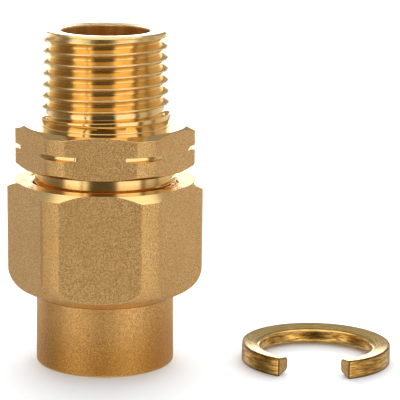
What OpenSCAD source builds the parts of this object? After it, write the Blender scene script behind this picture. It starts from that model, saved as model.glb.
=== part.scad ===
// Brass union fitting for corrugated tube: a tapered pipe thread above a hexagon flange,
// a long hexagon coupling nut with a round collar, a sealing washer between the two,
// and the split ring that grips the tube, lying loose beside the fitting.
//
// Millimetres, +Z up. The origin is on the fitting's axis, in the plane it stands on.
// A flat of each hexagon faces -Y.

/* [Coupling nut] */
// Width across the nut's flats
nut_flats = 29.3; // [28.8:0.1:30]
// Width across the nut's turned-down corners
nut_corners = 32.1; // [31.4:0.1:32.8]
// Height of the nut's top face above the ground
nut_height = 30.65; // [30:0.05:31]
// Height of the 45 degree chamfer on the nut's upper corners
nut_chamfer = 1.23; // [0.8:0.01:1.6]
// Radius that rounds the nut's lower corners
nut_lower_round = 3.4; // [2:0.1:4]
// Slope of the nut's underside, in degrees above the horizontal
nut_underside_slope = 25.9; // [20:0.1:30]
// Height of the round collar at the tube's end
collar_height = 11.5; // [10:0.1:12.4]
// Diameter of the collar at its lower end
collar_lower_d = 22.86; // [22.4:0.02:23]
// Diameter of the collar where it meets the hexagon
collar_upper_d = 22.66; // [22.2:0.02:22.8]
// Diameter of the hole that the tube goes into
entry_d = 18.6; // [18:0.1:19]
// Diameter of the chamber that closes the split ring
chamber_d = 22.4; // [22:0.1:22.8]

/* [Adapter body] */
// Height of the whole fitting
fitting_height = 55.1; // [54.5:0.1:56]
// Width across the flats of the hexagon flange
flange_flats = 27; // [26.6:0.1:27.4]
// Width across the flange's turned-down corners
flange_corners = 29.32; // [29:0.02:29.8]
// Height of the flange's lower face above the ground
flange_base = 32.75; // [32.4:0.05:33]
// Thickness of the flange
flange_thickness = 7; // [6.6:0.1:7.2]
// Slope of the turned upper and lower edges of the flange, in degrees
flange_edge_slope = 25; // [15:1:35]
// Diameter at the bottom of the groove that cuts the flange's corners
flange_groove_d = 28; // [27.6:0.1:28.4]
// Width of the groove at the flange's corners
flange_groove_w = 0.8; // [0.5:0.1:1.2]
// Diameter of the flow passage
bore_d = 14.4; // [14:0.1:15]
// Inner diameter of the pilot that goes inside the tube
pilot_bore_d = 10.8; // [10:0.1:11.4]
// Outer diameter of the pilot
pilot_d = 13.2; // [12.8:0.1:13.6]
// Length of the pilot below the seat
pilot_length = 3.3; // [2.6:0.1:3.6]

/* [Tapered pipe thread] */
// Distance between neighbouring threads
pipe_pitch = 1.814; // [1.4:0.001:2.1]
// Outer diameter of the thread at its upper end
pipe_upper_d = 20.44; // [20.2:0.02:20.9]
// Depth of the thread
pipe_depth = 1.2; // [0.8:0.05:1.4]
// Length that carries thread
pipe_thread_length = 12.7; // [11:0.1:13]
// Length of the plain band between the thread and the upper end
pipe_plain_length = 0.93; // [0.6:0.01:1.2]
// Diameter of the plain neck between the thread and the flange
pipe_neck_d = 20.9; // [20:0.1:21.2]

/* [Joining thread] */
// Outer diameter of the thread that joins the adapter to the nut
join_d = 24; // [23.6:0.1:24.2]
// Distance between neighbouring threads
join_pitch = 1.5; // [1:0.25:2]
// Length that carries thread
join_length = 10.2; // [9:0.1:11]
// Radial room between the thread's crests and the nut
join_clearance = 0.08; // [0.04:0.01:0.1]

/* [Sealing washer] */
// Outer diameter of the washer
washer_d = 19.2; // [18:0.1:20]
// Thickness of the washer
washer_thickness = 1.5; // [1:0.1:2]
// Radial room between the washer and the pilot
washer_clearance = 0.05; // [0.03:0.01:0.1]

/* [Split ring] */
// Outer size of the open ring from side to side
ring_wide = 24.8; // [24:0.1:25.6]
// Outer size of the open ring from front to back
ring_deep = 22.9; // [22.4:0.1:23.6]
// Width of the ring from its inner to its outer face
ring_width = 3.1; // [2.8:0.05:3.4]
// Thickness of the ring at its outer face
ring_thickness = 3.05; // [2.6:0.05:3.4]
// Slope of the ring's upper and lower faces towards its inner side
ring_slope = 9; // [4:1:12]
// Radius that rounds the ring's inner edges
ring_round = 0.75; // [0.4:0.05:0.9]
// Angle from the ring's front to its cut end on the -X side, on the ellipse's own circle
ring_left_end = 32; // [20:0.5:45]
// Angle from the ring's front to its cut end on the +X side, on the ellipse's own circle
ring_right_end = 22.5; // [15:0.5:45]
// Distance of the ring's centre from the fitting's axis, along X
ring_x = 35.34; // [31:0.01:45]
// Distance of the ring's centre from the fitting's axis, along Y
ring_y = 0.18; // [-5:0.01:5]

/* [Hidden] */
$fn = 96;

brass_cast = [0.80, 0.60, 0.28];
brass_turned = [0.88, 0.72, 0.38];
brass_drawn = [0.66, 0.53, 0.27];
washer_grey = [0.28, 0.29, 0.30];

nut_r = nut_corners / 2;
edge_break = 0.4;
mouth_chamfer = 0.4;
shoulder_base = 12.2;
shoulder_rise = 1.6;
relief_d = 23;
relief_base = 30.7;
join_base = relief_base - join_length;
join_depth = 0.61 * join_pitch;
flange_r = flange_corners / 2;
flange_top = flange_base + flange_thickness;
flange_face_r = 13.25;
flange_edge_rise = (flange_r - flange_face_r) * tan(flange_edge_slope);
pipe_end_chamfer = 0.4;
bore_chamfer = 0.2;
bore_floor = 24;
bore_step = 1.6;
taper = 1 / 32;
seat_gap = 0.02;
ring_edge = 0.12;
ring_steps = 64;

// Points on an arc about (x, y) from angle a to angle b
function arc(x, y, r, a, b, steps = 10) =
    [for (i = [0:steps]) let (t = a + (b - a) * i / steps) [x + r * cos(t), y + r * sin(t)]];

// A row of V threads as seen in section, from height z down, crest first.
// The crests lie on a line that is r at z and leans outwards by slope below it.
function thread_edge(r, z, pitch, depth, turns, slope = 0) = [
    for (i = [0:turns - 1]) let (y = z - i * pitch, out = r + slope * i * pitch)
        each [[out, y], [out, y - 0.12 * pitch],
              [out - depth, y - 0.48 * pitch], [out - depth, y - 0.6 * pitch]]
];

// A hexagon prism with a flat facing -Y
module hexagon(flats, height) {
    cylinder(h = height, d = flats / cos(30), $fn = 6);
}

// The nut's outline turned about the axis, before its flats are cut
module nut_outline() {
    slope = nut_underside_slope;
    collar_r = collar_upper_d / 2;
    corner_z = collar_height + (nut_r - collar_r) * tan(slope);
    round_z = corner_z + nut_lower_round * tan((90 - slope) / 2);
    rotate_extrude()
        polygon(concat(
            [[0, 0], [collar_lower_d / 2 - edge_break, 0], [collar_lower_d / 2, edge_break],
             [collar_r, collar_height]],
            arc(nut_r - nut_lower_round, round_z, nut_lower_round, slope - 90, 0),
            [[nut_r, nut_height - nut_chamfer], [nut_r - nut_chamfer, nut_height],
             [0, nut_height]]));
}

// The passage through the nut: tube hole, shoulder, ring chamber and joining bore
module nut_passage() {
    chamber_top = join_base - 2.4;
    join_r = join_d / 2 + join_clearance;
    rotate_extrude()
        polygon([
            [0, -1], [entry_d / 2, -1], [entry_d / 2, shoulder_base],
            [chamber_d / 2, shoulder_base + shoulder_rise], [chamber_d / 2, chamber_top],
            [join_r, chamber_top + 0.6], [join_r, nut_height - mouth_chamfer],
            [join_r + mouth_chamfer + 1, nut_height + 1], [0, nut_height + 1]]);
}

module coupling_nut() {
    color(brass_cast)
        difference() {
            intersection() {
                nut_outline();
                union() {
                    cylinder(h = collar_height + 0.01, r = nut_r + 1);
                    translate([0, 0, collar_height])
                        hexagon(nut_flats, nut_height);
                }
            }
            nut_passage();
        }
}

// The adapter's round parts: end chamfer, pipe thread, neck, flange, joining thread, pilot
module adapter_outline() {
    thread_top = fitting_height - pipe_plain_length;
    pipe_turns = floor(pipe_thread_length / pipe_pitch);
    join_turns = floor(join_length / join_pitch + 0.3);
    groove_z = flange_base + flange_thickness / 2;
    groove_r = flange_groove_d / 2;
    seat_r = join_d / 2 - join_depth - 0.3;
    rotate_extrude()
        polygon(concat(
            [[0, fitting_height], [pipe_upper_d / 2 - pipe_end_chamfer, fitting_height],
             [pipe_upper_d / 2, fitting_height - pipe_end_chamfer]],
            thread_edge(pipe_upper_d / 2, thread_top, pipe_pitch, pipe_depth, pipe_turns, taper),
            [[pipe_neck_d / 2, thread_top - pipe_thread_length],
             [pipe_neck_d / 2, flange_top], [flange_face_r, flange_top],
             [flange_r, flange_top - flange_edge_rise],
             [flange_r, groove_z + flange_groove_w / 2],
             [groove_r, groove_z + flange_groove_w / 3], [groove_r, groove_z - flange_groove_w / 3],
             [flange_r, groove_z - flange_groove_w / 2],
             [flange_r, flange_base + flange_edge_rise], [flange_face_r, flange_base],
             [relief_d / 2, flange_base], [relief_d / 2, relief_base + 0.4]],
            thread_edge(join_d / 2, relief_base, join_pitch, join_depth, join_turns),
            [[seat_r, join_base], [pilot_d / 2, join_base],
             [pilot_d / 2, join_base - pilot_length + 0.5],
             [pilot_d / 2 - 0.5, join_base - pilot_length], [0, join_base - pilot_length]]));
}

// The passage through the adapter, wide above and narrow in the pilot
module adapter_passage() {
    pilot_end = join_base - pilot_length;
    rotate_extrude()
        polygon([
            [0, fitting_height + 1], [bore_d / 2 + bore_chamfer + 1, fitting_height + 1],
            [bore_d / 2, fitting_height - bore_chamfer], [bore_d / 2, bore_floor],
            [pilot_bore_d / 2, bore_floor - bore_step], [pilot_bore_d / 2, pilot_end - 1],
            [0, pilot_end - 1]]);
}

module adapter_body() {
    color(brass_turned)
        difference() {
            intersection() {
                adapter_outline();
                union() {
                    cylinder(h = flange_base - 0.01, r = flange_r + 1);
                    translate([0, 0, flange_base - 0.01])
                        hexagon(flange_flats, flange_thickness + 0.02);
                    translate([0, 0, flange_top])
                        cylinder(h = fitting_height, r = flange_r + 1);
                }
            }
            adapter_passage();
        }
}

// Flat ring round the pilot, under the adapter's seat
module sealing_washer() {
    color(washer_grey)
        translate([0, 0, join_base - seat_gap - washer_thickness])
            difference() {
                cylinder(h = washer_thickness, d = washer_d);
                translate([0, 0, -1])
                    cylinder(h = washer_thickness + 2, d = pilot_d + 2 * washer_clearance);
            }
}

// The ring's section, [inward, up] from the foot of its outer face: a wedge with a round nose
function ring_section() =
    let (drop = (ring_width - ring_round) * tan(ring_slope), top = ring_thickness,
         nose = ring_width - ring_round)
    concat([[0, ring_edge], [ring_edge, 0]],
           arc(nose, drop + ring_round, ring_round, 270 + ring_slope, 360, 5),
           arc(nose, top - drop - ring_round, ring_round, 0, 90 - ring_slope, 5),
           [[ring_edge, top], [0, top - ring_edge]]);

// Where the ring's section stands at angle t round the ellipse, measured from -Y towards +X
function ring_station(t) =
    let (a = ring_wide / 2, b = ring_deep / 2, foot = [a * sin(t), -b * cos(t)],
         across = [b * sin(t), -a * cos(t)], inward = -across / norm(across))
    [for (p = ring_section()) let (at = foot + p[0] * inward) [at[0], at[1], p[1]]];

// Open ring, wider than it is deep because it is sprung open; its gap faces -Y
module split_ring() {
    n = len(ring_section());
    turn = 360 - ring_left_end - ring_right_end;
    points = [for (i = [0:ring_steps]) each ring_station(ring_right_end + turn * i / ring_steps)];
    sides = [for (i = [0:ring_steps - 1], k = [0:n - 1]) let (p = n * i + k, q = n * i + (k + 1) % n)
        each [[p, q, q + n], [p, q + n, p + n]]];
    ends = [[for (k = [0:n - 1]) n - 1 - k], [for (k = [0:n - 1]) n * ring_steps + k]];
    color(brass_drawn)
        translate([ring_x, ring_y, 0])
            polyhedron(points = points, faces = concat(sides, ends));
}

adapter_body();
coupling_nut();
sealing_washer();
split_ring();
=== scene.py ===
import math

import bpy
import numpy as np
from mathutils import Matrix, Vector


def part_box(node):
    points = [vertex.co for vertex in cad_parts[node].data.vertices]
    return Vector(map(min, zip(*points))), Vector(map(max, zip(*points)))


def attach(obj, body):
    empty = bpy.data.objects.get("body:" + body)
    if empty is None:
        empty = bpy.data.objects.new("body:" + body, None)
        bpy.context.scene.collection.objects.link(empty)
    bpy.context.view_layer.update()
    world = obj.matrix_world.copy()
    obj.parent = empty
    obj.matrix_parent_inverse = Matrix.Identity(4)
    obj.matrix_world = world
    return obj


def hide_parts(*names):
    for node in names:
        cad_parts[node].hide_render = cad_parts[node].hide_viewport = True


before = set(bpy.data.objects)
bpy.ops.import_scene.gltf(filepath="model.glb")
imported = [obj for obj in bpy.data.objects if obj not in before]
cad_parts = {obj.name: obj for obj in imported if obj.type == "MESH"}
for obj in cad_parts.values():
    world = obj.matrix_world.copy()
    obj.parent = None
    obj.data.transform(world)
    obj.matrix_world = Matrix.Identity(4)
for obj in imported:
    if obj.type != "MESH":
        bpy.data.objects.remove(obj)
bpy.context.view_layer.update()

MM = 0.001
TAU = 2 * math.pi
BLASTED, TURNED, BORED = 0, 1, 2


# ---------------------------------------------------------------- camera

def make_camera():
    """The camera stands in front of the fitting, a little above it, and looks slightly down."""
    pitch, roll = math.radians(12.385), math.radians(0.796)
    forward = Vector((-0.00023, math.cos(pitch), -math.sin(pitch)))
    right = Vector((1, 0, 0))
    up = right.cross(forward)
    tilted_right = right * math.cos(roll) + up * math.sin(roll)
    tilted_up = up * math.cos(roll) - right * math.sin(roll)
    data = bpy.data.cameras.new("camera")
    data.sensor_width = 36
    data.lens = 157.93
    camera = bpy.data.objects.new("camera", data)
    camera.matrix_world = Matrix.Translation((0.01562, -0.28217, 0.08912)) @ Matrix(
        (tilted_right, tilted_up, -forward)).transposed().to_4x4()
    bpy.context.scene.collection.objects.link(camera)
    bpy.context.scene.camera = camera


make_camera()


# ---------------------------------------------------------------- surfaces turned about +Z

def smooth(x):
    """0 below 0, 1 above 1, and a smooth step between them."""
    x = np.clip(x, 0, 1)
    return x * x * (3 - 2 * x)


def soft_min(a, b, blend):
    """The smaller of a and b, with the corner between them rounded."""
    share = np.maximum(blend - np.abs(a - b), 0) / blend
    return np.minimum(a, b) - share * share * blend / 4


def columns(count, special, spread):
    """Angles from -Y towards +X: an even set, with closer ones on each side of the special angles."""
    wanted = sorted((s + d) % 360 for s in special for d in spread)
    even = [a for a in np.arange(0, 360, 360 / count)
            if all(abs((a - w + 180) % 360 - 180) > 0.4 for w in wanted)]
    return np.radians(np.array(sorted(even + wanted)))


def hexagon(angles, apothem, blend):
    """Radius of a hexagon with a flat facing -Y, with rounded corners."""
    local = np.abs((angles + math.pi / 6) % (math.pi / 3) - math.pi / 6)
    return soft_min(apothem / np.cos(local), apothem / np.cos(math.pi / 3 - local), blend)


class Skin:
    """Rings of points about +Z, joined by faces. Millimetres until it is made into a mesh."""

    def __init__(self, angles):
        self.angles = angles
        self.points, self.edges, self.count = [], [], 0
        self.faces, self.zones = [], []

    def place(self, angles, r, z, edge):
        """Adds points and returns their numbers."""
        self.points.append(np.stack([r * np.sin(angles), -r * np.cos(angles), z], 1))
        self.edges.append(np.broadcast_to(edge, len(angles)).astype(float))
        self.count += len(angles)
        return np.arange(self.count - len(angles), self.count)

    def ring(self, r, z, edge=0.0):
        n = len(self.angles)
        return self.place(self.angles, np.broadcast_to(r, n), np.broadcast_to(z, n), edge)

    def quads(self, low, low_next, high, high_next, zone, flip=False):
        """Faces between two rows. Corners that share a point are dropped."""
        corners = np.stack([low, low_next, high_next, high], 1)
        if flip:
            corners = corners[:, ::-1]
        doubled = (corners == np.roll(corners, 1, 1)).any(1) | (corners[:, 0] == corners[:, 2])
        self.faces += [tuple(c) for c in corners[~doubled].tolist()]
        zone = np.broadcast_to(zone, len(low))
        self.zones += zone[~doubled].tolist()
        for c, z in zip(corners[doubled].tolist(), zone[doubled].tolist()):
            single = [v for i, v in enumerate(c) if v != c[i - 1]]
            if len(set(single)) == len(single) >= 3:
                self.faces.append(tuple(single))
                self.zones.append(z)

    def band(self, low, high, zone):
        self.quads(low, np.roll(low, -1), high, np.roll(high, -1), zone)

    def outline(self, corners, start=None, end=None, steps=3, hold=0.06):
        """Turns a line of (r, z, rounding, zone) about the axis, with each corner rounded.
        The zone is that of the surface from this corner to the next. It starts from the ring
        start and ends on the ring end, if they are given, and returns its first and last ring."""
        n = len(self.angles)
        at = [np.stack([np.broadcast_to(c[0], n), np.broadcast_to(c[1], n)], 1).astype(float)
              for c in corners]
        rows = []
        for i, (_, _, rounding, zone) in enumerate(corners):
            p = at[i]
            if rounding == 0 or i in (0, len(corners) - 1):
                rows.append((p, zone, 0.0))
                continue
            before, after = at[i - 1] - p, at[i + 1] - p
            long_before = np.linalg.norm(before, axis=1, keepdims=True)
            long_after = np.linalg.norm(after, axis=1, keepdims=True)
            before, after = before / long_before, after / long_after
            half = np.arccos(np.clip((before * after).sum(1), -1, 1)) / 2
            cut = (rounding / np.tan(half))[:, None]
            cut = np.minimum(cut + 0.004, np.minimum(0.4 * long_before, 0.4 * long_after))
            old = corners[i - 1][3]
            turn = before[:, 0] * after[:, 1] - before[:, 1] * after[:, 0]
            convex = smooth(turn * 3)
            rows.append((p + before * (cut + np.minimum(hold, 0.1 * long_before)), old, 0.0))
            for k in range(steps + 1):
                t = k / steps
                q = (1 - t) ** 2 * (p + before * cut) + 2 * t * (1 - t) * p + t * t * (p + after * cut)
                rows.append((q, zone if 2 * k >= steps else old, convex))
            rows.append((p + after * (cut + np.minimum(hold, 0.1 * long_after)), zone, 0.0))
        rings = []
        for i, (p, zone, edge) in enumerate(rows):
            if i == 0 and start is not None:
                rings.append(start)
            elif i == len(rows) - 1 and end is not None:
                rings.append(end)
            else:
                rings.append(self.ring(p[:, 0], p[:, 1], edge))
        for i in range(len(rows) - 1):
            self.band(rings[i], rings[i + 1], rows[i][1])
        return rings[0], rings[-1]

    def thread(self, low, high, z_low, z_high, crest, pitch, form, radius, zone, inside=False):
        """Fills the space between the rings low and high with rows that climb with the thread.
        form is a list of (share of the pitch above a crest, depth share), and
        radius(z, depth, middle) gives the surface there, where middle is the height of the
        groove's middle. The crest passes z = crest at -Y, and climbs towards +X."""
        gap, n, turns = 0.012, len(form), self.angles / TAU
        first = math.floor((z_low - crest) / pitch) - 2
        last = math.ceil((z_high - crest) / pitch) + 2
        rows = []
        for m in range(first * n, last * n + 1):
            turn, k = divmod(m, n)
            z = crest + pitch * (turn + form[k][0] + turns)
            middle = crest + pitch * (turn + 0.5 + turns)
            below, above = z <= z_low + gap, z >= z_high - gap
            row = np.where(below, low, high)
            free = ~below & ~above
            if free.any():
                r = radius(z[free], form[k][1], middle[free])
                deep = np.abs(radius(z[free], 0, middle[free]) - radius(z[free], 1, middle[free]))
                sharp = form[k][1] > 0.95 if inside else form[k][1] < 0.05
                edge = smooth(deep / 0.6) if sharp else np.zeros(len(r))
                row[free] = self.place(self.angles[free], r, z[free], edge)
            rows.append(row)
        for i in range(len(rows) - n - 1):
            a, b = rows[i], rows[i + 1]
            self.quads(a, np.append(a[1:], rows[i + n][0]), b, np.append(b[1:], rows[i + 1 + n][0]),
                       zone, inside)

    def make(self, name, materials):
        mesh = bpy.data.meshes.new(name)
        points = np.concatenate(self.points) * MM
        mesh.from_pydata(points.tolist(), [], self.faces)
        for m in materials:
            mesh.materials.append(m)
        mesh.polygons.foreach_set("material_index", self.zones)
        mesh.polygons.foreach_set("use_smooth", [True] * len(self.faces))
        # edge: a weight on rounded corners and thread crests, where the materials paint highlight or shade
        edge = mesh.attributes.new("edge", "FLOAT", "POINT")
        edge.data.foreach_set("value", np.concatenate(self.edges).astype(np.float32))
        mesh.update()
        piece = bpy.data.objects.new(name, mesh)
        bpy.context.scene.collection.objects.link(piece)
        return piece


# ---------------------------------------------------------------- node helpers

def put(tree, kind, inputs=None, **settings):
    """Adds a node. An input is a value or another node's output."""
    node = tree.nodes.new(kind)
    for name, value in settings.items():
        setattr(node, name, value)
    for name, value in (inputs or {}).items():
        if isinstance(value, bpy.types.NodeSocket):
            tree.links.new(value, node.inputs[name])
        else:
            node.inputs[name].default_value = value
    return node


def calc(tree, operation, a, b=0.0, c=0.0):
    return put(tree, "ShaderNodeMath", {0: a, 1: b, 2: c}, operation=operation).outputs[0]


def remap(tree, value, low, high, to_low=0.0, to_high=1.0, kind="SMOOTHSTEP"):
    return put(tree, "ShaderNodeMapRange",
               {"Value": value, "From Min": low, "From Max": high, "To Min": to_low, "To Max": to_high},
               interpolation_type=kind).outputs["Result"]


def noise(tree, where, scale, detail=2.0, roughness=0.5):
    return put(tree, "ShaderNodeTexNoise",
               {"Vector": where, "Scale": scale, "Detail": detail, "Roughness": roughness}).outputs["Fac"]


def mix(tree, share, a, b, kind="MIX"):
    node = put(tree, "ShaderNodeMix", data_type="RGBA", blend_type=kind)
    for socket, value in ((node.inputs[0], share), (node.inputs[6], a), (node.inputs[7], b)):
        if isinstance(value, bpy.types.NodeSocket):
            tree.links.new(value, socket)
        else:
            socket.default_value = value
    return node.outputs[2]


def opaque(r, g, b):
    return (r, g, b, 1.0)


def painted(tree, name):
    """A value that the mesh holds at its points."""
    return put(tree, "ShaderNodeAttribute", attribute_name=name).outputs["Fac"]


def start_material(name, metallic=1.0):
    """A material, its shader, and the surface's own coordinates in millimetres."""
    material = bpy.data.materials.new(name)
    material.use_nodes = True
    tree = material.node_tree
    shader = tree.nodes["Principled BSDF"]
    shader.inputs["Metallic"].default_value = metallic
    here = put(tree, "ShaderNodeTexCoord").outputs["Object"]
    here = put(tree, "ShaderNodeVectorMath", {0: here, "Scale": 1000.0}, operation="SCALE").outputs[0]
    return material, tree, shader, here


def finish_material(tree, shader, colour, roughness, height, depth, strength=1.0):
    """Links the colour, roughness and bump. depth is the bump's height in millimetres."""
    tree.links.new(colour, shader.inputs["Base Color"])
    tree.links.new(roughness, shader.inputs["Roughness"])
    bump = put(tree, "ShaderNodeBump", {"Height": height, "Distance": depth * MM, "Strength": strength})
    tree.links.new(bump.outputs[0], shader.inputs["Normal"])


# ---------------------------------------------------------------- materials

def blasted_brass():
    """Forged brass, blasted with fine shot: matt, with a bright and dark grain, and painted shade darkening
    its rounded corners.
    The collar is more uneven than the hexagons, and its colour is darker and browner towards its foot:
    painted shade under the nut's overhang."""
    material, tree, shader, here = start_material("brass_blasted")
    z = put(tree, "ShaderNodeSeparateXYZ", {0: here}).outputs[2]
    fine = noise(tree, here, 6.5, 1.0, 0.6)
    grain = noise(tree, here, 3.4, 2.0, 0.6)
    drift = noise(tree, here, 0.16, 2.0)
    height = calc(tree, "MULTIPLY_ADD", grain, 0.6, calc(tree, "MULTIPLY", fine, 0.6))
    uneven = calc(tree, "MULTIPLY", noise(tree, here, 1.0, 2.0, 0.6),
                  remap(tree, z, 11.3, 10.3, 0.0, 0.9))
    height = calc(tree, "ADD", height, uneven)
    tone = remap(tree, noise(tree, here, 5.5, 1.0, 0.7), 0.32, 0.68)
    colour = mix(tree, tone, opaque(0.57, 0.32, 0.10), opaque(1.0, 0.65, 0.285))
    colour = mix(tree, remap(tree, drift, 0.3, 0.7, 0.0, 0.35), colour, opaque(0.72, 0.42, 0.14))
    # painted shade: below z 11.5 the collar's colour darkens and browns towards its foot, as under the nut's
    # overhang
    foot = mix(tree, remap(tree, z, 11.5, 1.0), opaque(1.0, 0.95, 0.86), opaque(0.76, 0.60, 0.35))
    colour = mix(tree, remap(tree, z, 12.4, 11.3), colour, mix(tree, 1.0, colour, foot, "MULTIPLY"))
    edge = painted(tree, "edge")
    # painted shade: rounded corners marked by edge are darkened towards dark brown
    colour = mix(tree, calc(tree, "MULTIPLY", edge, 0.75), colour, opaque(0.30, 0.15, 0.04))
    roughness = remap(tree, fine, 0.3, 0.75, 0.56, 0.38)
    finish_material(tree, shader, colour, roughness, height, 0.09)
    return material


def turned_brass():
    """Brass cut on a lathe: bright, with fine rings about the axis and a painted highlight on corners and
    crests.
    The neck and the run-out above it have no painted highlight on their corners. The pipe thread,
    and all that lies below the flange, is a little duller than the neck and the face of the rim."""
    material, tree, shader, here = start_material("brass_turned")
    parts = put(tree, "ShaderNodeSeparateXYZ", {0: here})
    x, y, z = parts.outputs[0], parts.outputs[1], parts.outputs[2]
    r = calc(tree, "SQRT", calc(tree, "MULTIPLY_ADD", x, x, calc(tree, "MULTIPLY", y, y)))
    along = put(tree, "ShaderNodeCombineXYZ", {0: r, 1: z}).outputs[0]
    rings = noise(tree, along, 7.0, 3.0, 0.65)
    wave = noise(tree, along, 1.3, 1.0)
    cloud = noise(tree, here, 0.35, 3.0)
    colour = mix(tree, remap(tree, rings, 0.3, 0.7), opaque(0.86, 0.57, 0.22), opaque(0.94, 0.67, 0.29))
    colour = mix(tree, remap(tree, cloud, 0.45, 0.75, 0.0, 0.5), colour, opaque(0.80, 0.49, 0.17))
    edge = painted(tree, "edge")
    clear = calc(tree, "MAXIMUM", remap(tree, z, 43.0, 43.6), remap(tree, z, 39.9, 39.7))
    edge = calc(tree, "MULTIPLY", edge, clear)
    # painted highlight: a cream line on the corners and crests marked by edge, left off between z 39.9 and
    # 43
    colour = mix(tree, calc(tree, "MULTIPLY", edge, 0.5), colour, opaque(0.97, 0.73, 0.42))
    threaded = calc(tree, "ADD", remap(tree, z, 42.0, 42.7, 0.0, 0.08),
                    remap(tree, z, 53.9, 54.2, 0.0, 0.1))
    threaded = calc(tree, "MULTIPLY", threaded, remap(tree, z, 54.95, 54.85))
    threaded = calc(tree, "ADD", threaded, remap(tree, z, 32.7, 32.5, 0.0, 0.09))
    roughness = calc(tree, "MULTIPLY_ADD", rings, 0.06, remap(tree, cloud, 0.3, 0.7, 0.03, 0.08))
    roughness = calc(tree, "ADD", roughness, calc(tree, "MULTIPLY_ADD", edge, 0.1, threaded))
    height = calc(tree, "MULTIPLY_ADD", wave, 0.5, rings)
    finish_material(tree, shader, colour, roughness, height, 0.006, 0.6)
    return material


def bored_brass():
    """Brass inside the drilled holes: dull and brown, with streaks along the hole and faint rings."""
    material, tree, shader, here = start_material("brass_bored")
    parts = put(tree, "ShaderNodeSeparateXYZ", {0: here})
    x, y, z = parts.outputs[0], parts.outputs[1], parts.outputs[2]
    turn = calc(tree, "ARCTAN2", x, y)
    streaks = noise(tree, put(tree, "ShaderNodeCombineXYZ", {0: calc(tree, "MULTIPLY", turn, 2.2),
                                                            1: calc(tree, "MULTIPLY", z, 0.03)}).outputs[0],
                    1.0, 2.0, 0.6)
    rings = noise(tree, put(tree, "ShaderNodeCombineXYZ", {0: z}).outputs[0], 5.0, 3.0, 0.65)
    grain = noise(tree, here, 3.0, 3.0)
    colour = mix(tree, remap(tree, streaks, 0.35, 0.65), opaque(0.46, 0.20, 0.04), opaque(0.84, 0.45, 0.12))
    colour = mix(tree, remap(tree, grain, 0.4, 0.7, 0.0, 0.3), colour, opaque(0.44, 0.20, 0.05))
    roughness = remap(tree, grain, 0.3, 0.7, 0.5, 0.38)
    height = calc(tree, "MULTIPLY_ADD", rings, 0.6, grain)
    finish_material(tree, shader, colour, roughness, height, 0.02, 0.7)
    return material


def drawn_brass():
    """Old drawn brass of the split ring: streaks along its length, painted shade darkening its corners, and
    painted light making its up-facing top paler.
    """
    material, tree, shader, here = start_material("brass_drawn")
    flow = put(tree, "ShaderNodeAttribute", attribute_name="flow").outputs["Vector"]
    streak_at = put(tree, "ShaderNodeVectorMath", {0: flow, 1: (0.12, 1.0, 1.0)},
                    operation="MULTIPLY").outputs[0]
    streaks = noise(tree, streak_at, 3.2, 4.0, 0.65)
    hair = noise(tree, put(tree, "ShaderNodeVectorMath", {0: flow, 1: (0.05, 1.0, 1.0)},
                           operation="MULTIPLY").outputs[0], 11.0, 2.0)
    cloud = noise(tree, here, 0.55, 3.0)
    normal = put(tree, "ShaderNodeNewGeometry").outputs["Normal"]
    up = put(tree, "ShaderNodeSeparateXYZ", {0: normal}).outputs[2]
    top = remap(tree, up, 0.4, 0.9)
    colour = mix(tree, remap(tree, streaks, 0.36, 0.64), opaque(0.28, 0.12, 0.02), opaque(0.94, 0.57, 0.15))
    colour = mix(tree, remap(tree, cloud, 0.4, 0.75, 0.0, 0.5), colour, opaque(0.52, 0.31, 0.07))
    # painted light: faces that point up are mixed halfway towards pale gold
    colour = mix(tree, top, colour, mix(tree, 0.5, colour, opaque(0.94, 0.66, 0.20)))
    edge = painted(tree, "edge")
    # painted shade: corners and the rims of the cut ends, marked by edge, are darkened nearly to black
    colour = mix(tree, calc(tree, "MULTIPLY", edge, 0.85), colour, opaque(0.12, 0.05, 0.012))
    roughness = calc(tree, "MULTIPLY_ADD", streaks, -0.12, remap(tree, cloud, 0.3, 0.7, 0.38, 0.3))
    roughness = calc(tree, "MULTIPLY_ADD", top, -0.08, roughness)
    height = calc(tree, "MULTIPLY_ADD", hair, 0.4, streaks)
    finish_material(tree, shader, colour, roughness, height, 0.02, 0.8)
    return material


def washer_fibre():
    """Pressed fibre gasket sheet."""
    material, tree, shader, here = start_material("washer_fibre", metallic=0.0)
    specks = noise(tree, here, 4.5, 4.0, 0.7)
    patch = noise(tree, here, 0.8, 2.0)
    colour = mix(tree, remap(tree, specks, 0.35, 0.65), opaque(0.045, 0.06, 0.055), opaque(0.13, 0.16, 0.15))
    colour = mix(tree, remap(tree, patch, 0.4, 0.7, 0.0, 0.4), colour, opaque(0.09, 0.10, 0.095))
    roughness = remap(tree, specks, 0.3, 0.7, 0.85, 0.6)
    finish_material(tree, shader, colour, roughness, specks, 0.05)
    return material


blasted, turned, bored = blasted_brass(), turned_brass(), bored_brass()
drawn, fibre = drawn_brass(), washer_fibre()


# ---------------------------------------------------------------- sizes shared by the pieces

def extent(node):
    """A CAD node's lowest and highest corners in millimetres."""
    return [np.array(corner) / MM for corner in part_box(node)]


def stand_for(piece, body, node):
    """The piece rides on the body, and replaces the CAD node."""
    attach(piece, body)
    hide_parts(node)


_, nut_high = extent("coupling_nut")
_, adapter_high = extent("adapter_body")
washer_low, washer_high = extent("sealing_washer")
ring_low, ring_high = extent("split_ring")

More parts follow.
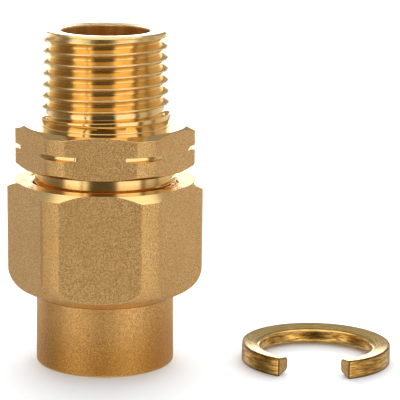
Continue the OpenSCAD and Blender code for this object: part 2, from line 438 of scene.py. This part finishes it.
# Thread forms are lists of (share of the pitch above a crest, share of the depth).
JOIN_PITCH = 1.5
JOIN_CREST = nut_high[2] + 0.08
JOIN_R = 12.0
JOIN_DEPTH = 0.915
PIPE_PITCH = 1.814
JOIN_FORM = [(0, 0), (0.05, 0), (0.075, 0.04), (0.23, 0.46), (0.38, 0.95), (0.43, 1), (0.5, 1),
             (0.57, 1), (0.62, 0.95), (0.77, 0.46), (0.925, 0.04), (0.95, 0)]
PIPE_FORM = [(0, 0), (0.04, 0.012), (0.075, 0.075), (0.15, 0.26), (0.25, 0.5), (0.35, 0.74),
             (0.42, 0.91), (0.46, 0.98), (0.5, 1), (0.54, 0.98), (0.58, 0.91), (0.65, 0.74),
             (0.75, 0.5), (0.85, 0.26), (0.925, 0.075), (0.96, 0.012)]


# ---------------------------------------------------------------- coupling nut

def coupling_nut():
    top = nut_high[2]
    flat = nut_high[1]
    corner = 16.05
    breaks = [s + side * 24.11 for s in range(0, 360, 60) for side in (-1, 1)]
    skin = Skin(columns(240, breaks, (-1.1, -0.45, 0, 0.45, 1.1)))
    edge = soft_min(hexagon(skin.angles, flat, 0.1), np.full(len(skin.angles), corner), 0.14)
    collar_low, collar_high, collar_top = 11.43, 11.33, 11.5
    tube_r, chamber_r, thread_r, thread_z, seam_z = 9.3, 11.2, 12.08, 19.1, 6
    mouth_z = top - 0.4
    slope, bend = math.radians(25.9), 3.4
    bend_r = corner - bend
    bend_z = collar_top + (corner - collar_high) * math.tan(slope) + bend * math.tan(math.pi / 4 - slope / 2)
    bend_start = slope - math.pi / 2
    bend_end = -np.arccos(np.clip((edge - bend_r) / bend, -1, 1))
    chamfer = 1.23
    face_r = corner - chamfer
    rim = np.minimum(top - chamfer + corner - edge, top - 0.02)
    face = np.minimum(face_r, edge - 0.05)
    under = [(bend_r + bend * np.cos(a), bend_z + bend * np.sin(a), 0, BLASTED)
             for a in (bend_start + (bend_end - bend_start) * s for s in np.linspace(0, 1, 9)[:-1])]
    high = skin.ring(thread_r, mouth_z)
    low = skin.ring(thread_r, thread_z)
    outer = [(tube_r, seam_z, 0, BORED), (tube_r, 0, 0.12, TURNED), (collar_low, 0, 0.4, BLASTED),
             (collar_high, collar_top, 0.12, BLASTED), *under,
             (bend_r + bend * np.cos(bend_end), bend_z + bend * np.sin(bend_end), 0.12, BLASTED),
             (edge, 22, 0, BLASTED), (edge, rim, 0.1, TURNED), (face, top, 0.08, TURNED),
             (thread_r + 0.4, top, 0.06, TURNED), (thread_r, mouth_z, 0, TURNED)]
    foot, _ = skin.outline(outer, end=high)

    def radius(z, depth, middle):
        """The nut's inner thread, opened at its mouth so that the adapter's undercut passes."""
        male = JOIN_R - JOIN_DEPTH * depth
        mouth = 0.38 * smooth((z - 27.7) / 0.3)
        r = np.clip(np.full(len(z), male + 0.1), 11.27 + mouth, thread_r)
        r = thread_r + (r - thread_r) * smooth((z - thread_z) / 0.9)
        return np.maximum(r, thread_r + 0.4 - (top - z))

    skin.thread(low, high, thread_z, mouth_z, JOIN_CREST, JOIN_PITCH, JOIN_FORM, radius, TURNED, True)
    skin.outline([(thread_r, thread_z, 0, BORED), (thread_r, 18.7, 0.1, BORED),
                  (chamber_r, 18.1, 0.12, BORED), (chamber_r, 13.8, 0.25, BORED),
                  (tube_r, 12.2, 0.15, BORED), (tube_r, seam_z, 0, BORED)], start=low, end=foot)
    stand_for(skin.make("nut_detailed", [blasted, turned, bored]), "nut", "coupling_nut")


# ---------------------------------------------------------------- adapter body

def adapter_body():
    top = adapter_high[2]
    flat, corner = adapter_high[1], adapter_high[0]
    half_flat = math.degrees(math.acos(flat / corner))
    breaks = [s + side * half_flat for s in range(0, 360, 60) for side in (-1, 1)]
    skin = Skin(columns(240, breaks, (-1.1, -0.45, 0, 0.45, 1.1)))
    edge = soft_min(hexagon(skin.angles, flat, 0.1), np.full(len(skin.angles), corner), 0.12)
    base, thick, face_r, lean = 32.75, 7.0, 13.25, math.tan(math.radians(25))
    drop = (edge - face_r) * lean
    groove_z, groove_r = base + thick / 2, 14.0
    cut = edge > groove_r
    half = 0.3 + 0.1 * np.clip((edge - groove_r) / (corner - groove_r), 0, 1)
    root = np.minimum(groove_r, edge)
    inside = np.where(cut, TURNED, BLASTED)
    seat, relief_r, thread_top, relief_z, lead_r = 20.5, 11.5, 31.8, 20.62, 10.92
    pilot_r, pilot_bore_r, pilot_end, bore_r, seam_z = 6.6, 5.4, 17.2, 7.2, 19.5
    join_low = skin.ring(lead_r, relief_z)
    join_high = skin.ring(relief_r, thread_top)
    neck_r, neck_z, pipe_top, pipe_end_r = 10.45, 40.7, top - 0.05, 9.78
    pipe_low = skin.ring(neck_r, neck_z)
    pipe_high = skin.ring(pipe_end_r, pipe_top)

    foot, _ = skin.outline([(pilot_bore_r, seam_z, 0, BORED), (pilot_bore_r, pilot_end, 0.1, TURNED),
                            (6.1, pilot_end, 0.1, TURNED), (pilot_r, 17.7, 0.12, TURNED),
                            (pilot_r, seat, 0.15, TURNED), (10.8, seat, 0.05, TURNED),
                            (lead_r, relief_z, 0, TURNED)], end=join_low)

    def join(z, depth, middle):
        """The joining thread. It ends in the undercut, 1.35 mm higher on one side."""
        turn = ((middle - JOIN_CREST) / JOIN_PITCH - 0.5) % 1
        end = 30.4 + 1.35 * smooth((turn - 0.08) / 0.14) * smooth((0.62 - turn) / 0.2)
        r = np.minimum(JOIN_R - JOIN_DEPTH * depth, lead_r + (z - relief_z))
        return relief_r + (r - relief_r) * smooth((end - z) / 0.4)

    skin.thread(join_low, join_high, relief_z, thread_top, JOIN_CREST, JOIN_PITCH, JOIN_FORM, join, TURNED)
    skin.outline([(relief_r, thread_top, 0, TURNED), (relief_r, base, 0.3, TURNED),
                  (face_r, base, 0.05, TURNED), (edge, base + drop, 0.1, BLASTED),
                  (edge, groove_z - half, 0.05, inside), (root, groove_z - 0.25, 0.05, inside),
                  (root, groove_z + 0.25, 0.05, inside), (edge, groove_z + half, 0.05, BLASTED),
                  (edge, base + thick - drop, 0.1, TURNED), (face_r, base + thick, 0.08, TURNED),
                  (neck_r, base + thick, 0.12, TURNED), (neck_r, neck_z, 0, TURNED)],
                 start=join_high, end=pipe_low)

    def pipe(z, depth, middle):
        """The taper pipe thread, with shallow flat grooves in its last turns above the neck."""
        run_out = smooth((43.4 - middle) / 0.5)
        cut = np.minimum((1.15 + 0.9 * run_out) * depth, 1.15 - 0.2 * run_out)
        cut = cut * smooth((middle - 41.4) / 0.35) * smooth((54.85 - middle) / 0.25)
        cut = cut * smooth((pipe_top - z) / 0.4)
        r = np.minimum(10.25 + (53.15 - z) / 32 - cut, pipe_end_r + (pipe_top - z) * 1.2)
        return neck_r + (r - neck_r) * smooth((z - neck_z) / 0.25)

    skin.thread(pipe_low, pipe_high, neck_z, pipe_top, 52.25, PIPE_PITCH, PIPE_FORM, pipe, TURNED)
    skin.outline([(pipe_end_r, pipe_top, 0, TURNED), (9.72, top, 0.03, TURNED),
                  (7.35, top - 0.13, 0.05, BORED), (bore_r, top - 0.3, 0.06, BORED),
                  (bore_r, 24, 0.15, BORED), (pilot_bore_r, 22.4, 0.15, BORED),
                  (pilot_bore_r, seam_z, 0, BORED)], start=pipe_high, end=foot)
    stand_for(skin.make("adapter_detailed", [blasted, turned, bored]), "adapter", "adapter_body")


# ---------------------------------------------------------------- sealing washer

def sealing_washer():
    low, high, outer = washer_low[2], washer_high[2], washer_high[0]
    inner, middle = 6.65, (washer_low[2] + washer_high[2]) / 2
    skin = Skin(columns(192, [], ()))
    seam = skin.ring(inner, middle)
    skin.outline([(inner, middle, 0, 0), (inner, low, 0.12, 0), (outer, low, 0.18, 0),
                  (outer, high, 0.18, 0), (inner, high, 0.12, 0), (inner, middle, 0, 0)],
                 start=seam, end=seam)
    stand_for(skin.make("washer_detailed", [fibre]), "washer", "sealing_washer")


# ---------------------------------------------------------------- split ring

def ring_section(width, thick):
    """The ring's section as (inward, up, edge): a wedge with a soft nose."""
    lean, nose = math.tan(math.radians(9)), 0.75
    tip = width - nose
    drop = tip * lean
    points = []

    def line(a, b, count):
        points.extend((a[0] + (b[0] - a[0]) * i / count, a[1] + (b[1] - a[1]) * i / count, 0.0)
                      for i in range(count))

    def bend(x, y, r, start, stop, count, edge):
        points.extend((x + r * math.cos(t), y + r * math.sin(t), edge)
                      for t in np.radians(np.linspace(start, stop, count)))

    small = 0.16
    bend(small, small, small, 180, 270, 5, 1.0)
    line((small + 0.1, 0.1 * lean), (tip - 0.1, drop - 0.1 * lean), 7)
    bend(tip, drop + nose, nose, 270 + 9, 360, 7, 0.0)
    bend(tip, thick - drop - nose, nose, 0, 60, 5, 0.0)
    bend(tip, thick - drop - nose, nose, 70, 90 - 9, 2, 0.6)
    line((tip - 0.1, thick - drop + 0.1 * lean), (small + 0.1, thick - 0.1 * lean), 7)
    bend(small, thick - small, small, 90, 180, 5, 1.0)
    line((0, thick - small - 0.1), (0, small + 0.05), 8)
    return np.array(points)


def split_ring():
    a, width = (ring_high[0] - ring_low[0]) / 2, 3.1
    b = 11.45
    centre = np.array([(ring_high[0] + ring_low[0]) / 2, ring_high[1] - b])
    thick = ring_high[2]
    section = ring_section(width, thick)
    n = len(section)
    middle = section[:, :2].mean(0)
    angles = np.radians(np.linspace(22.5, 360 - 32, 150))
    inset = np.array([0.10, 0.04, 0.0])
    angles = np.concatenate([angles[:1] + [0, 0.004, 0.012], angles[1:-1],
                             angles[-1:] + [-0.012, -0.004, 0]])
    count = len(angles)
    shrink = np.zeros(count)
    shrink[:3], shrink[-3:] = inset, inset[::-1]
    points, flow, edges = [], [], []
    around = np.concatenate([[0], np.cumsum(np.linalg.norm(np.diff(section[:, :2], axis=0), axis=1))])
    length, previous = 0.0, None
    for t, s in zip(angles, shrink):
        foot = np.array([a * math.sin(t), -b * math.cos(t)])
        across = np.array([b * math.sin(t), -a * math.cos(t)])
        inward = -across / np.linalg.norm(across)
        if previous is not None:
            length += float(np.linalg.norm(foot - previous))
        previous = foot
        wobble = 0.012 * math.sin(3.1 * t + 0.6) + 0.008 * math.sin(7.3 * t)
        for i, (x, z, edge) in enumerate(section):
            x, z = x + (middle[0] - x) * s / 1.3, z + (middle[1] - z) * s / 1.3
            x = x + max(wobble, 0) * (1 - x / width)
            at = centre + foot + inward * x
            points.append((at[0], at[1], z))
            flow.append((length, around[i], 0.0))
            edges.append(max(edge, 1.0 if s else 0.0))
    faces = []
    for j in range(count - 1):
        for i in range(n):
            p, q = n * j + i, n * j + (i + 1) % n
            faces.append((p, q, q + n, p + n))
    for first, flip in ((0, True), (n * (count - 1), False)):
        loop = np.array(points[first:first + n])
        inner = loop + (loop.mean(0) - loop) * 0.2
        start = len(points)
        points.extend(tuple(p) for p in inner)
        flow.extend(((0.3 * i) % 1.7, around[i], 0.0) for i in range(n))
        edges.extend([0.25] * n)
        for i in range(n):
            k = (i + 1) % n
            quad = (first + i, first + k, start + k, start + i)
            faces.append(quad[::-1] if flip else quad)
        cap = tuple(range(start, start + n))
        faces.append(cap[::-1] if flip else cap)
    mesh = bpy.data.meshes.new("ring_detailed")
    mesh.from_pydata((np.array(points) * MM).tolist(), [], faces)
    mesh.polygons.foreach_set("use_smooth", [True] * (n * (count - 1)) + [False] * (2 * n + 2))
    # edge: a weight on the ring's corners and cut ends, where its material paints shade
    mesh.attributes.new("edge", "FLOAT", "POINT").data.foreach_set("value", np.array(edges, np.float32))
    mesh.attributes.new("flow", "FLOAT_VECTOR", "POINT").data.foreach_set(
        "vector", np.array(flow, np.float32).ravel())
    mesh.materials.append(drawn)
    mesh.update()
    piece = bpy.data.objects.new("ring_detailed", mesh)
    bpy.context.scene.collection.objects.link(piece)
    stand_for(piece, "ring", "split_ring")


coupling_nut()
adapter_body()
sealing_washer()
split_ring()


# ---------------------------------------------------------------- floor and light

def make_floor():
    """A pale floor. Reflections in the brass leave it out and see the studio instead."""
    size = 3.0
    mesh = bpy.data.meshes.new("floor")
    mesh.from_pydata([(-size, -size, 0), (size, -size, 0), (size, size, 0), (-size, size, 0)], [],
                     [(0, 1, 2, 3)])
    floor = bpy.data.objects.new("floor", mesh)
    bpy.context.scene.collection.objects.link(floor)
    material = bpy.data.materials.new("floor_white")
    material.use_nodes = True
    shader = material.node_tree.nodes["Principled BSDF"]
    shader.inputs["Base Color"].default_value = (0.895, 0.92, 0.94, 1)
    shader.inputs["Roughness"].default_value = 0.9
    shader.inputs["Specular IOR Level"].default_value = 0.0
    mesh.materials.append(material)
    floor.visible_glossy = False


def make_world():
    """The studio, which only reflections see, as (direction, brightness, whiteness) stops round
    the horizon. Their light fades out between 26 and 40 degrees up, and behind the fitting at
    about 11 degrees. A ceiling takes over there, dim at first and bright from 59 degrees up.
    A weak warm light comes from low in front, and the panel behind is dim below the horizon.
    Everything else is lit by plain white light that is brightest from behind."""
    world = bpy.data.worlds.new("studio")
    bpy.context.scene.world = world
    world.use_nodes = True
    tree = world.node_tree
    tree.nodes.clear()
    towards = put(tree, "ShaderNodeTexCoord").outputs["Generated"]
    parts = put(tree, "ShaderNodeSeparateXYZ", {0: towards})
    x, y, z = parts.outputs[0], parts.outputs[1], parts.outputs[2]
    side = calc(tree, "ARCTAN2", x, calc(tree, "MULTIPLY", y, -1.0))
    side = calc(tree, "MULTIPLY", side, 360 / TAU)
    rise = calc(tree, "MULTIPLY", calc(tree, "ARCSINE", z), 360 / TAU)
    away = calc(tree, "ABSOLUTE", side)

    around = put(tree, "ShaderNodeValToRGB", {"Fac": remap(tree, side, -180, 180, kind="LINEAR")})
    stops = [(-180, 3.2, 1), (-152, 2.6, 1), (-140, 1.0, 1), (-128, 0.85, 1), (-116, 0.45, 0.9),
             (-100, 0.24, 0.7), (-78, 0.18, 0.6), (-68, 0.2, 0.7), (-64, 1.3, 1), (-37.2, 1.4, 1),
             (-36.4, 0.05, 0.5), (-34.2, 0.05, 0.5), (-33.4, 1.4, 1), (-28, 1.25, 1), (-23, 0.09, 0.4),
             (20, 0.09, 0.4), (25, 1.25, 1), (60, 1.3, 1), (63.5, 0.2, 0.4), (69, 0.2, 0.4),
             (75, 0.66, 0.9), (88, 0.6, 0.9), (93, 0.35, 0.7), (99, 0.35, 0.7), (104, 0.62, 0.9),
             (140, 0.85, 1), (154, 2.6, 1), (180, 3.2, 1)]
    ramp = around.color_ramp
    ramp.elements.remove(ramp.elements[0])
    for i, (angle, level, white) in enumerate(stops):
        at = (angle + 180) / 360
        element = ramp.elements[0] if i == 0 else ramp.elements.new(at)
        element.position = at
        green, blue = 0.74 + 0.26 * white, 0.48 + 0.52 * white
        element.color = (level / 4, level / 4 * green, level / 4 * blue, 1)
    behind = remap(tree, away, 138, 150)
    dark = calc(tree, "MULTIPLY", behind, remap(tree, rise, -5, -10))
    light = calc(tree, "MULTIPLY_ADD", dark, -3.4, 4.0)
    high = remap(tree, rise, 26, 40)
    card = calc(tree, "MULTIPLY", remap(tree, away, 125, 140), remap(tree, rise, 10.4, 12))
    high = calc(tree, "MAXIMUM", high, card)
    light = calc(tree, "MULTIPLY", light, calc(tree, "MULTIPLY_ADD", high, -1.0, 1.0))
    ceiling = calc(tree, "MULTIPLY", high, remap(tree, rise, 50, 59, 0.42, 1.35))
    ceiling = calc(tree, "MULTIPLY", ceiling, remap(tree, away, 130, 165, 1.0, 0.75))
    studio = put(tree, "ShaderNodeBackground", {"Color": around.outputs[0], "Strength": light})
    above = put(tree, "ShaderNodeBackground", {"Color": (1, 1, 1, 1), "Strength": ceiling})
    studio = put(tree, "ShaderNodeAddShader", {0: studio.outputs[0], 1: above.outputs[0]})
    fill = calc(tree, "MULTIPLY", remap(tree, rise, -26, -40, 0.0, 0.6), remap(tree, away, 50, 20))
    low = put(tree, "ShaderNodeBackground", {"Color": (1, 0.93, 0.82, 1), "Strength": fill})
    studio = put(tree, "ShaderNodeAddShader", {0: studio.outputs[0], 1: low.outputs[0]})
    glow = calc(tree, "MULTIPLY", remap(tree, away, 138, 168, 0.0, 4.0), remap(tree, rise, 45, 30))
    glow = calc(tree, "ADD", glow, remap(tree, away, 25, 155, 0.65, 1.9, "LINEAR"))
    plain = put(tree, "ShaderNodeBackground", {"Color": (1, 1, 1, 1), "Strength": glow})
    ray = put(tree, "ShaderNodeLightPath")
    chosen = put(tree, "ShaderNodeMixShader", {0: ray.outputs["Is Glossy Ray"], 1: plain.outputs[0],
                                              2: studio.outputs[0]})
    out = put(tree, "ShaderNodeOutputWorld")
    tree.links.new(chosen.outputs[0], out.inputs[0])


make_floor()
make_world()
bpy.context.scene.view_settings.view_transform = "Standard"
